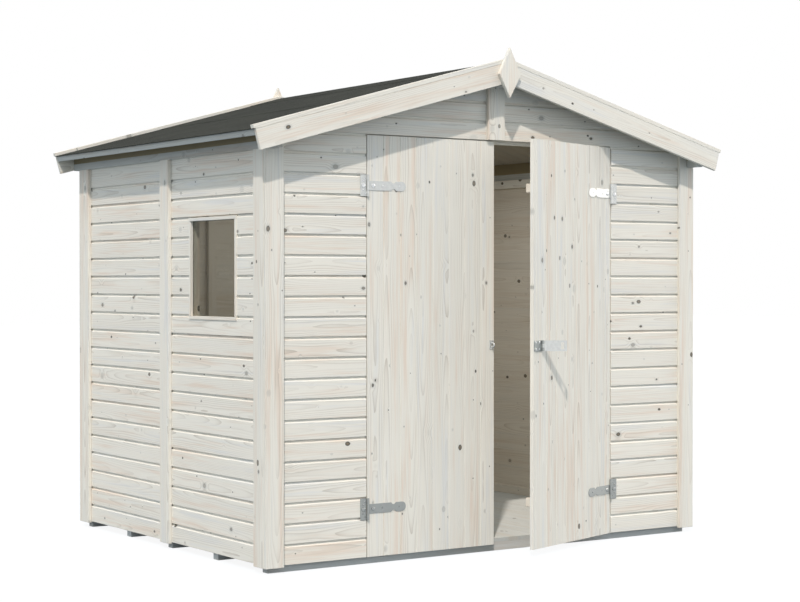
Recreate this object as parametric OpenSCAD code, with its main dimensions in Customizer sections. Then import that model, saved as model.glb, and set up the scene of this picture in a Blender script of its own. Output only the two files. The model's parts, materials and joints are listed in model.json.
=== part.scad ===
// Wooden garden shed with double doors, apex roof and one fixed window.
// Origin: centre of the footprint, on the ground. +X to the right along the front, +Y to the back, +Z up.
// The front wall faces -Y. Millimetres.

/* [Base] */
// Number of bearers under the floor
bearer_n = 5; // [3:1:8]
// Width of one bearer
bearer_w = 45; // [30:1:80]
// Height of one bearer
bearer_h = 40; // [25:1:80]
// Thickness of the floor boards
deck_t = 17; // [12:1:30]
// Distance from the cladding face back to the front edge of the floor
deck_setback = 23; // [20:1:40]

/* [Walls] */
// Width over the cladding, side to side
wall_w = 2385; // [1950:1:3600]
// Depth over the cladding, front to back
wall_d = 1862; // [1500:1:3000]
// Height of the side walls, ground to the eaves beam
eaves_h = 1796; // [1770:1:2300]
// Thickness of the cladding boards
clad_t = 16; // [12:1:24]
// How far the cladding hangs below the top of the bearers
clad_drop = 8; // [4:1:20]
// Width of a framing lath, along the wall
lath_w = 45; // [30:1:60]
// Depth of a framing lath, into the room
lath_t = 28; // [20:1:45]
// Width of the trim boards
trim_w = 90; // [60:1:120]
// Thickness of the trim boards
trim_t = 17; // [12:1:25]
// How far the trim boards hang below the cladding
trim_drop = 7; // [0:1:15]

/* [Doors] */
// Width of one door leaf
leaf_w = 688; // [500:1:820]
// Height of a door leaf
leaf_h = 1842; // [1500:1:1860]
// Thickness of a door leaf
leaf_t = 18; // [15:1:30]
// Gap between a leaf and the wall around it
leaf_gap = 5; // [5:1:10]
// Gap between the two closed leaves
leaf_meet = 6; // [5:1:10]
// Angle at which the right leaf stands open
leaf_ajar = 20; // [0:1:60]
// Height of a ledge on the back of a leaf
ledge_h = 40; // [30:1:100]
// Thickness of a ledge
ledge_t = 25; // [18:1:40]
// Distance from the ends of a leaf to the centre of the nearest ledge and hinge
ledge_end = 216; // [120:1:400]
// Distance from the free edge of a leaf to the end of its ledges
ledge_stop = 3; // [2:1:60]

/* [Ironwork] */
// Length of a hinge strap from its pin
strap_l = 201; // [150:1:300]
// Height of a hinge strap
strap_h = 41; // [30:1:60]
// Height of the fixed plate of a hinge
plate_h = 94; // [80:1:140]
// Width of the fixed plate of a hinge
plate_w = 32; // [26:1:60]
// Thickness of the sheet steel
steel_t = 2.5; // [1.5:0.5:5]
// Radius of a hinge barrel
barrel_r = 5.5; // [5:0.5:8]
// Radius of a hinge pin
pin_r = 3; // [2:0.5:4]
// Height of the hasp above the foot of the leaf
hasp_z = 914; // [600:1:1300]
// Height of the hasp plates
hasp_h = 48; // [36:1:60]
// Distance from the free edge of the leaf to the hasp's own pin
hasp_pin_in = 68; // [50:1:140]
// Angle through which the hasp strap is swung back from the free edge
hasp_ajar = 122; // [0:1:170]
// Length of the hasp strap past the staple
hasp_tail = 20; // [16:1:40]

/* [Window] */
// Width of the hole in the wall
win_w = 443; // [250:1:560]
// Height of the hole in the wall
win_h = 457; // [250:1:600]
// Height of the hole's lower edge above the ground
win_z = 1065; // [800:1:1200]
// Distance from the front of the wall to the hole
win_front = 264; // [200:1:320]
// Width of the lining around the glass
lining_w = 15; // [10:1:30]
// How far the lining stands proud of the cladding
lining_proud = 4; // [0:1:10]
// Thickness of the pane
glass_t = 4; // [3:1:6]

/* [Roof] */
// Slope of the roof in degrees
roof_pitch = 15.4; // [10:0.1:30]
// Width of an eaves beam and of the ridge beam
beam_w = 45; // [35:1:70]
// Height of the outer face of an eaves beam
beam_h = 79; // [60:1:140]
// Height of the ridge beam
ridge_h = 90; // [60:1:140]
// Thickness of the roof boards
board_t = 16; // [12:1:24]
// Thickness of the roofing felt
felt_t = 3; // [2:1:5]
// How far the felt hangs past the fascia
felt_drip = 4; // [2:1:20]
// Overhang of the roof at the eaves
eaves_over = 110; // [60:1:250]
// Overhang of the roof boards at front and back
verge_over = 83; // [60:1:250]
// Width of the fascia board, square to the slope
fascia_h = 27; // [20:1:80]
// Width of the bargeboards
barge_w = 90; // [70:1:140]
// Thickness of the bargeboards
barge_t = 18; // [14:1:28]
// Thickness of the verge strips that lie on the felt
verge_t = 16; // [8:1:20]
// Width of the verge strips
verge_w = 26; // [20:1:70]
// How far a verge strip reaches past its bargeboard
verge_tip = 9; // [5:1:40]
// Half the width of a finial board
finial_half = 60; // [40:1:90]
// Height of a finial board above its widest place
finial_up = 123; // [80:1:180]
// Depth of a finial board below its widest place
finial_down = 106; // [70:1:160]
// Thickness of a finial board
finial_t = 19; // [14:1:28]
// Width of the trim board in the middle of a gable
king_w = 95; // [70:1:130]

/* [Hidden] */
$fn = 48;

wood = "#E2DFD3";
wood_shade = "#D3D1C6";
raw_wood = "#B9A98F";
felt_grey = "#464843";
zinc = "#C3C6C8";

joint_gap = 1; // open joint between two like pieces of one node
play = 0.1;    // radial play of a bore on its pin
slack = 1;     // space between two knuckles along a pin
lay = 0.05;    // air under a sloping piece of the roof, so that it lies on its seat and not in it

// Levels
deck_top = bearer_h + deck_t;
clad_z = bearer_h - clad_drop;
trim_z = clad_z - trim_drop;
leaf_top = clad_z + leaf_h;
door_head = leaf_top + leaf_gap;

// Faces, from the middle outwards
side_x = wall_w / 2;
front_y = wall_d / 2;
clad_in_x = side_x - clad_t;
clad_in_y = front_y - clad_t;
room_x = clad_in_x - lath_t;
room_y = clad_in_y - lath_t;
end_stud_x = room_x - joint_gap - lath_w / 2; // middle of the outer studs of the front and rear walls
trim_x = side_x + trim_t;
trim_y = front_y + trim_t;
deck_y = front_y - deck_setback;
door_x = leaf_w + leaf_gap + leaf_meet / 2; // half the doorway

rear_bay = 0.43; // place of the inner studs of the rear wall, as a share of the outer ones

// Roof
slope = tan(roof_pitch);
beam_out = trim_x;
beam_in = beam_out - beam_w;
roof_end_y = front_y + verge_over;
barge_y = roof_end_y + barge_t;
eaves_x = side_x + eaves_over;
fascia_t = board_t;
verge_lip = 10; // front edge of a verge strip, which reaches down to its bargeboard in front of the felt
down = [cos(roof_pitch), -sin(roof_pitch)];    // along the slope, to the eaves
under = [-sin(roof_pitch), -cos(roof_pitch)];  // square to the slope, downwards
board_rise = board_t / cos(roof_pitch); // height of the roof boards measured upright
felt_rise = felt_t / cos(roof_pitch);
verge_rise = verge_t / cos(roof_pitch);

function under_z(x) = eaves_h + beam_h + (beam_out - abs(x)) * slope;
function board_z(x) = under_z(x) + lay + board_rise;
function felt_z(x) = board_z(x) + lay + felt_rise;

ridge_z = under_z(0) - ridge_h; // underside of the ridge beam

// Hinges
pin_out = barrel_r + 0.5; // from the face of the leaf to the pin
pin_x = leaf_w + leaf_meet / 2;
pin_y = -front_y - pin_out;
leaf_back = pin_out + leaf_t;
hinge_heights = [clad_z + ledge_end - 5, leaf_top - ledge_end - 4];
ledge_start = 60;
waist_in = 64; // from the end of a strap to its waist
waist_r = 14;
waist_depth = 8;

// Hasp and staple
hasp_barrel_r = 5;
hasp_pin_r = 2.5;
hasp_out = 9;      // from the face of the leaf to the hasp's pin
hasp_knuckle = 16; // length of the strap's own knuckle
staple_in = 13;    // from the free edge of the left leaf to the staple
staple_rod = 3;
staple_half = 9;
staple_reach = 24;
staple_plate = [24, 42];
slot = [14, 2 * (staple_half + staple_rod) + 6];
hasp_reach = hasp_pin_in + leaf_meet + staple_in; // hasp pin to staple when both leaves are closed
hasp_z0 = clad_z + hasp_z;

// Window
win_y0 = -front_y + win_front;
win_y1 = win_y0 + win_w;
win_z1 = win_z + win_h;

// Extrudes an upright outline, drawn in X and Z, from y0 to y1
module along_y(y0, y1)
    translate([0, y1, 0]) rotate([90, 0, 0]) linear_extrude(y1 - y0) children();

module box(a, b) translate(a) cube(b - a);

module both_sides() {
    children();
    mirror([1, 0, 0]) children();
}

module at_rear() mirror([0, 1, 0]) children();

// ---------------------------------------------------------------- base

module bearers() color(raw_wood)
    for (i = [0 : bearer_n - 1]) {
        y = -deck_y + i * (2 * deck_y - bearer_w) / (bearer_n - 1);
        box([-clad_in_x, y, 0], [clad_in_x, y + bearer_w, bearer_h]);
    }

module floor_deck() color(raw_wood)
    box([-clad_in_x, -deck_y, bearer_h], [clad_in_x, deck_y, deck_top]);

// --------------------------------------------------------------- walls

// Everything below the roof boards and beside the beams, as seen from the front
module end_outline(half_w) difference() {
    polygon([[-half_w, 0], [half_w, 0], [half_w, under_z(half_w)], [0, under_z(0)], [-half_w, under_z(half_w)]]);
    for (s = [-1, 1]) translate([s * (beam_in + beam_out) / 2 - beam_w / 2, eaves_h]) square([beam_w, 2 * beam_h]);
    translate([-beam_w / 2, ridge_z]) square([beam_w, 2 * ridge_h]);
}

// A stretch of cladding of an end wall
module end_cladding(x0, x1, z0, z1) along_y(-front_y, -clad_in_y) intersection() {
    end_outline(side_x);
    translate([x0, z0]) square([x1 - x0, z1 - z0]);
}

module front_wall_left() color(wood) end_cladding(-side_x, -door_x, clad_z, door_head);
module front_wall_right() color(wood) end_cladding(door_x, side_x, clad_z, door_head);
module front_gable() color(wood) end_cladding(-side_x, side_x, door_head, under_z(0));
module rear_wall() color(wood) at_rear() end_cladding(-side_x, side_x, clad_z, door_head);
module rear_gable() color(wood) at_rear() end_cladding(-side_x, side_x, door_head, under_z(0));

module side_cladding(y0, y1) box([-side_x, y0, clad_z], [-clad_in_x, y1, eaves_h]);

module left_wall_front() color(wood_shade) difference() {
    side_cladding(-clad_in_y, 0);
    box([-side_x - 1, win_y0, win_z], [-clad_in_x + 1, win_y1, win_z1]);
}

module left_wall_rear() color(wood_shade) side_cladding(0, clad_in_y);
module right_wall() color(wood_shade) mirror([1, 0, 0]) side_cladding(-clad_in_y, clad_in_y);

// ------------------------------------------------------------- framing

function stud_centres() = [-clad_in_y + lath_w / 2, win_y0 - lath_w / 2, win_y1 + lath_w / 2, clad_in_y - lath_w / 2];

module side_stud(y) box([-clad_in_x, y - lath_w / 2, deck_top + lath_w], [-room_x, y + lath_w / 2, eaves_h - lath_w]);

module end_stud(x) box([x - lath_w / 2, -clad_in_y, deck_top + lath_w], [x + lath_w / 2, -room_y, door_head - lath_w]);

module wall_studs() color(raw_wood) {
    for (y = stud_centres()) side_stud(y);
    mirror([1, 0, 0]) for (y = [-1, 0, 1] * (clad_in_y - lath_w / 2)) side_stud(y);
    both_sides() end_stud(end_stud_x);
    at_rear() for (x = [-1, -rear_bay, rear_bay, 1] * end_stud_x) end_stud(x);
}

// Horizontal laths, one low and one high on each wall, and the head of the doorway
module wall_rails() color(raw_wood) {
    both_sides() for (z = [deck_top, eaves_h - lath_w])
        box([room_x, -clad_in_y, z], [clad_in_x, clad_in_y, z + lath_w]);
    for (z = [deck_top, door_head - lath_w]) {
        both_sides() box([door_x + lath_w, -clad_in_y, z], [room_x - joint_gap, -room_y, z + lath_w]);
        box([-room_x + joint_gap, room_y, z], [room_x - joint_gap, clad_in_y, z + lath_w]);
    }
    box([-door_x - lath_w, -clad_in_y, door_head], [door_x + lath_w, -room_y, door_head + lath_w]);
    box([-door_x, -deck_y, door_head - leaf_gap - 12], [door_x, -room_y, door_head]);
}

module door_posts() color(raw_wood) both_sides()
    box([door_x, -clad_in_y, deck_top], [door_x + lath_w, -room_y, door_head]);

// --------------------------------------------------------------- trims

module end_corner_trims() both_sides() along_y(-trim_y, -front_y) intersection() {
    end_outline(trim_x);
    translate([trim_x - trim_w, trim_z]) square([trim_w, 2 * eaves_h]);
}

module front_corner_trims() color(wood) end_corner_trims();
module rear_corner_trims() color(wood) at_rear() end_corner_trims();

module side_trims() for (y = [-1, 0, 1] * (front_y - trim_w / 2))
    box([-trim_x, y - trim_w / 2, trim_z], [-side_x, y + trim_w / 2, eaves_h]);

module left_side_trims() color(wood_shade) side_trims();
module right_side_trims() color(wood_shade) mirror([1, 0, 0]) side_trims();

module gable_trim() along_y(-trim_y, -front_y) intersection() {
    end_outline(side_x);
    translate([-king_w / 2, door_head]) square([king_w, ridge_z - door_head]);
}

module front_gable_trim() color(wood) gable_trim();
module rear_gable_trim() color(wood) at_rear() gable_trim();

// ---------------------------------------------------------------- roof

module eaves_beam() along_y(-roof_end_y, roof_end_y)
    polygon([[beam_in, eaves_h], [beam_out, eaves_h], [beam_out, under_z(beam_out)], [beam_in, under_z(beam_in)]]);

module eaves_beam_left() color(wood_shade) mirror([1, 0, 0]) eaves_beam();
module eaves_beam_right() color(wood_shade) eaves_beam();

module ridge_beam() color(raw_wood) along_y(-roof_end_y, roof_end_y)
    polygon([[-beam_w / 2, ridge_z], [beam_w / 2, ridge_z], [beam_w / 2, under_z(beam_w / 2)],
             [0, under_z(0)], [-beam_w / 2, under_z(beam_w / 2)]]);

module roof_boards() along_y(-roof_end_y, roof_end_y) {
    end = [eaves_x, board_z(eaves_x)] - (fascia_t + lay) * down;
    polygon([[0, under_z(0) + lay], end + board_t * under, end, [0, board_z(0)]]);
}

module roof_boards_left() color(raw_wood) mirror([1, 0, 0]) roof_boards();
module roof_boards_right() color(raw_wood) roof_boards();

module roof_felt() along_y(-barge_y + verge_lip + joint_gap, barge_y - verge_lip - joint_gap) {
    x1 = eaves_x + felt_drip;
    polygon([[0, board_z(0) + lay], [x1, board_z(x1) + lay], [x1, felt_z(x1)], [0, felt_z(0)]]);
}

module roof_felt_left() color(felt_grey) mirror([1, 0, 0]) roof_felt();
module roof_felt_right() color(felt_grey) roof_felt();

module fascia() along_y(-roof_end_y, roof_end_y) {
    top = [eaves_x, board_z(eaves_x)];
    polygon([top, top + fascia_h * under, top + fascia_h * under - fascia_t * down, top - fascia_t * down]);
}

module fascia_left() color(wood_shade) mirror([1, 0, 0]) fascia();
module fascia_right() color(wood_shade) fascia();

// A board along the edge of the roof: its lower end is cut square to the slope
module bargeboards() both_sides() along_y(-barge_y, -roof_end_y) {
    x0 = joint_gap / 2;
    top = [eaves_x, board_z(eaves_x)];
    foot = top + barge_w * under;
    polygon([[x0, board_z(x0)], top, foot, [x0, board_z(x0) - barge_w / cos(roof_pitch)]]);
}

module front_bargeboards() color(wood) bargeboards();
module rear_bargeboards() color(wood) at_rear() bargeboards();

// A strip along the edge of the felt: its lip closes the felt's edge from the front
module verge_strips() both_sides() {
    x0 = joint_gap / 2;
    base = [x0, felt_z(x0) + lay];
    tip = [eaves_x + verge_tip * cos(roof_pitch), felt_z(eaves_x) + lay - verge_tip * sin(roof_pitch)];
    along_y(-barge_y, -barge_y + verge_w) polygon([base, tip, tip - verge_t * under, base + [0, verge_rise]]);
    along_y(-barge_y, -barge_y + verge_lip)
        polygon([[x0, board_z(x0) + lay], [eaves_x, board_z(eaves_x) + lay], tip - verge_t / 2 * under, base + [0, verge_rise / 2]]);
}

module front_verge_strips() color(wood) verge_strips();
module rear_verge_strips() color(wood) at_rear() verge_strips();

module finial() along_y(-barge_y - finial_t, -barge_y) {
    z = board_z(0) - barge_w / cos(roof_pitch) + 37;
    polygon([[0, z + finial_up], [finial_half, z], [0, z - finial_down], [-finial_half, z]]);
}

module front_finial() color(wood) finial();
module rear_finial() color(wood) at_rear() finial();

// -------------------------------------------------------------- window

module window_frame() color(wood_shade) difference() {
    box([-side_x - lining_proud, win_y0, win_z], [-room_x, win_y1, win_z1]);
    box([-side_x - lining_proud - 1, win_y0 + lining_w, win_z + lining_w], [-room_x + 1, win_y1 - lining_w, win_z1 - lining_w]);
}

module window_pane() color("#8FA6A8", 0.4) {
    x = -side_x + 10;
    box([x, win_y0 + lining_w, win_z + lining_w], [x + glass_t, win_y1 - lining_w, win_z1 - lining_w]);
}

// --------------------------------------------------------------- doors

// A leaf's own frame: the pin stands at the origin, the leaf runs along +X, its face looks to -Y
module left_leaf_frame() translate([-pin_x, pin_y, 0]) children();
module right_leaf_frame() translate([pin_x, pin_y, 0]) rotate([0, 0, leaf_ajar]) mirror([1, 0, 0]) children();

module leaf() box([0, pin_out, clad_z], [leaf_w, leaf_back, leaf_top]);

module ledges() for (z = hinge_heights)
    box([ledge_start, leaf_back, z - ledge_h / 2], [leaf_w - ledge_stop, leaf_back + ledge_t, z + ledge_h / 2]);

// Strap of a T hinge: straight from the pin, then a waist bitten out of both edges, then a round end
module strap_outline() {
    half_h = strap_h / 2;
    difference() {
        union() {
            translate([0, -half_h]) square([strap_l - half_h, strap_h]);
            translate([strap_l - half_h, 0]) circle(half_h);
        }
        for (z = [-1, 1] * (half_h + waist_r - waist_depth)) translate([strap_l - waist_in, z]) circle(waist_r);
    }
}

module hinge_straps() for (z = hinge_heights) translate([0, 0, z]) difference() {
    union() {
        along_y(pin_out - steel_t, pin_out) strap_outline();
        translate([0, 0, -strap_h / 2]) cylinder(r = barrel_r, h = strap_h);
    }
    translate([0, 0, -strap_h]) cylinder(r = pin_r + play, h = 2 * strap_h);
}

// Fixed plate with its two knuckles and the pin, drawn beside the left leaf
module hinge_plate() {
    cut = strap_h / 2 + slack;
    difference() {
        box([-plate_w - leaf_gap, pin_out - steel_t, -plate_h / 2], [0, pin_out, plate_h / 2]);
        box([-barrel_r - slack, 0, -cut], [1, pin_out + 1, cut]);
    }
    for (z = [-plate_h / 2, cut]) translate([0, 0, z]) cylinder(r = barrel_r, h = plate_h / 2 - cut);
    translate([0, 0, -plate_h / 2]) cylinder(r = pin_r, h = plate_h);
}

module hinge_plates() color(zinc) both_sides()
    for (z = hinge_heights) translate([-pin_x, pin_y, z]) hinge_plate();

module door_left_leaf() color(wood) left_leaf_frame() leaf();
module door_left_ledges() color(raw_wood) left_leaf_frame() ledges();
module door_left_hinge_straps() color(zinc) left_leaf_frame() hinge_straps();

module door_left_staple() color(zinc) left_leaf_frame() translate([leaf_w - staple_in, pin_out, hasp_z0]) {
    box([-staple_plate[0] / 2, -steel_t, -staple_plate[1] / 2], [staple_plate[0] / 2, 0, staple_plate[1] / 2]);
    straight = staple_reach - staple_half - staple_rod;
    for (z = [-1, 1] * staple_half)
        translate([0, 0, z]) rotate([90, 0, 0]) cylinder(r = staple_rod, h = straight);
    translate([0, -straight, 0]) rotate([0, 90, 180]) rotate_extrude(angle = 180) translate([staple_half, 0]) circle(staple_rod);
}

module door_right_leaf() color(wood) right_leaf_frame() leaf();
module door_right_ledges() color(raw_wood) right_leaf_frame() ledges();
module door_right_hinge_straps() color(zinc) right_leaf_frame() hinge_straps();

// Places the hasp: its own pin at the origin, the strap along +X towards the free edge
module hasp_frame() right_leaf_frame() translate([leaf_w - hasp_pin_in, pin_out - hasp_out, hasp_z0]) children();

// The fixed plate lies under the closed strap, on two lugs that carry the pin
module door_right_hasp_plate() color(zinc) hasp_frame() {
    cut = hasp_knuckle / 2 + slack;
    box([-hasp_barrel_r, hasp_out - steel_t, -hasp_h / 2], [hasp_pin_in - 4, hasp_out, hasp_h / 2]);
    for (z = [-hasp_h / 2, cut]) {
        translate([0, 0, z]) cylinder(r = hasp_barrel_r, h = hasp_h / 2 - cut);
        box([-hasp_barrel_r, 0, z], [0, hasp_out, z + hasp_h / 2 - cut]);
    }
    translate([0, 0, -hasp_h / 2]) cylinder(r = hasp_pin_r, h = hasp_h);
}

module hasp_strap() color(zinc) hasp_frame() rotate([0, 0, -hasp_ajar]) difference() {
    union() {
        box([0, -steel_t / 2, -hasp_knuckle / 2], [hasp_barrel_r + 3, steel_t / 2, hasp_knuckle / 2]);
        box([hasp_barrel_r + slack, -steel_t / 2, -hasp_h / 2], [hasp_reach + hasp_tail, steel_t / 2, hasp_h / 2]);
        translate([0, 0, -hasp_knuckle / 2]) cylinder(r = hasp_barrel_r, h = hasp_knuckle);
    }
    translate([0, 0, -hasp_h]) cylinder(r = hasp_pin_r + play, h = 2 * hasp_h);
    box([hasp_reach - slot[0] / 2, -hasp_out, -slot[1] / 2], [hasp_reach + slot[0] / 2, hasp_out, slot[1] / 2]);
}

bearers();
floor_deck();
front_wall_left();
front_wall_right();
front_gable();
rear_wall();
rear_gable();
left_wall_front();
left_wall_rear();
right_wall();
wall_studs();
wall_rails();
door_posts();
front_corner_trims();
rear_corner_trims();
left_side_trims();
right_side_trims();
front_gable_trim();
rear_gable_trim();
eaves_beam_left();
eaves_beam_right();
ridge_beam();
roof_boards_left();
roof_boards_right();
roof_felt_left();
roof_felt_right();
fascia_left();
fascia_right();
front_bargeboards();
rear_bargeboards();
front_verge_strips();
rear_verge_strips();
front_finial();
rear_finial();
window_frame();
window_pane();
hinge_plates();
door_left_leaf();
door_left_ledges();
door_left_hinge_straps();
door_left_staple();
door_right_leaf();
door_right_ledges();
door_right_hinge_straps();
door_right_hasp_plate();
hasp_strap();
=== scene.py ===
import json
import math
import random

import bmesh
import bpy
from mathutils import Matrix, Vector


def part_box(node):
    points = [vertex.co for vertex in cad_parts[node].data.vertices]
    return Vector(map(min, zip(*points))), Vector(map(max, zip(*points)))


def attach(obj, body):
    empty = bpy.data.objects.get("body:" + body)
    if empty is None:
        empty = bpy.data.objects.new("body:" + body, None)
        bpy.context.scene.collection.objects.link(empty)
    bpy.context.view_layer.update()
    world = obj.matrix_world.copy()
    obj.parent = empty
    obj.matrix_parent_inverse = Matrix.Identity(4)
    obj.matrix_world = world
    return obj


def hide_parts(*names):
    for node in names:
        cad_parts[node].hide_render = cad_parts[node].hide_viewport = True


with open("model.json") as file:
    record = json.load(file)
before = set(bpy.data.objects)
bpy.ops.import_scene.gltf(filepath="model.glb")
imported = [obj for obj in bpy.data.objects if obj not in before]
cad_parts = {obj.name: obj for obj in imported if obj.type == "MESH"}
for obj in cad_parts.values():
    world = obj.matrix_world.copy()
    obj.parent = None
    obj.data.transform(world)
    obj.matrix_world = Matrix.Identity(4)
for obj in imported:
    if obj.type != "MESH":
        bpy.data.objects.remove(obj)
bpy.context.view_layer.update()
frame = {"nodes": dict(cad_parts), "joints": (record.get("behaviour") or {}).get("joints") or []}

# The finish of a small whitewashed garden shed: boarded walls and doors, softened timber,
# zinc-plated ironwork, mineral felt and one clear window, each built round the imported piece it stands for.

MM = 0.001
nodes = frame["nodes"]
joints = {joint["name"]: joint for joint in frame["joints"]}

# ------------------------------------------------------------------ sizes, in metres

BOARDS_TO_DOOR_HEAD = 21  # whole weatherboards from the bottom of a wall to the head of the doorway
LAP_GAP = 9 * MM          # dark joint under the edge of a weatherboard
LAP_BEVEL = 5 * MM        # sloping top edge of the board below it
ARRIS = 1 * MM            # planed corner of a board
TONGUE = 4 * MM
FIT = 0.3 * MM            # air round a tongue
LAY = 0.05 * MM           # air under a roof board or felt that lies on another piece
DOOR_COVER = 88 * MM
DOOR_V = 2.2 * MM         # half the width, and the depth, of the V between two door boards
LEFT_LEAF_FIRST = 85 * MM  # width of the first board from the hinge
RIGHT_LEAF_FIRST = 50 * MM
FLOOR_COVER = 95 * MM
ROOF_COVER = 88 * MM
ROOF_BOARD = 16 * MM      # thickness
FELT = 3 * MM             # thickness
KNOT_APART = 0.125        # about the distance from one knot to the next

ROOF_PITCH = math.radians(15.4)
STRAP_H = 41 * MM
PLATE_IN = 21 * MM        # bolt of a hinge plate, from the pin
BOLT_OUT = 30 * MM        # bolt of a hinge strap, from the pin
BOLT_HEAD = (20 * MM, 5 * MM)     # width and height
SCREW_HEAD = (8 * MM, 1.8 * MM)


# ------------------------------------------------------------------ small tools

def colour(code):
    """sRGB hex to the linear colour that a socket takes."""
    parts = [int(code[i : i + 2], 16) / 255 for i in (1, 3, 5)]
    return (*(c / 12.92 if c <= 0.04045 else ((c + 0.055) / 1.055) ** 2.4 for c in parts), 1)


def out(made, name):
    return next(given for given in made.outputs if given.name == name and given.enabled)


def give(tree, taken, value):
    """Gives an input a plain value, a node's output, or a node's first output."""
    if isinstance(value, bpy.types.Node):
        value = next(given for given in value.outputs if given.enabled)
    if isinstance(value, bpy.types.NodeSocket):
        tree.links.new(value, taken)
    else:
        taken.default_value = value


def add(tree, kind, values=(), **settings):
    """Adds a node with its settings. values are what its inputs get, in order or by name."""
    made = tree.nodes.new(kind)
    for name, value in settings.items():
        setattr(made, name, value)
    inputs = [taken for taken in made.inputs if taken.enabled]
    if isinstance(values, dict):
        for name, value in values.items():
            give(tree, next(taken for taken in inputs if taken.name == name), value)
    else:
        for taken, value in zip(inputs, values):
            give(tree, taken, value)
    return made


# ------------------------------------------------------------------ finishes

MATH, RANGE, MIX = "ShaderNodeMath", "ShaderNodeMapRange", "ShaderNodeMix"
SOFT = {"interpolation_type": "SMOOTHSTEP"}   # a range with soft ends: value, from low, high, to low, high
TINT = {"data_type": "RGBA"}                  # a mix of two colours: share, first, second


def shader(name):
    made = bpy.data.materials.new(name)
    made.use_nodes = True
    return made, made.node_tree, made.node_tree.nodes["Principled BSDF"]


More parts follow.
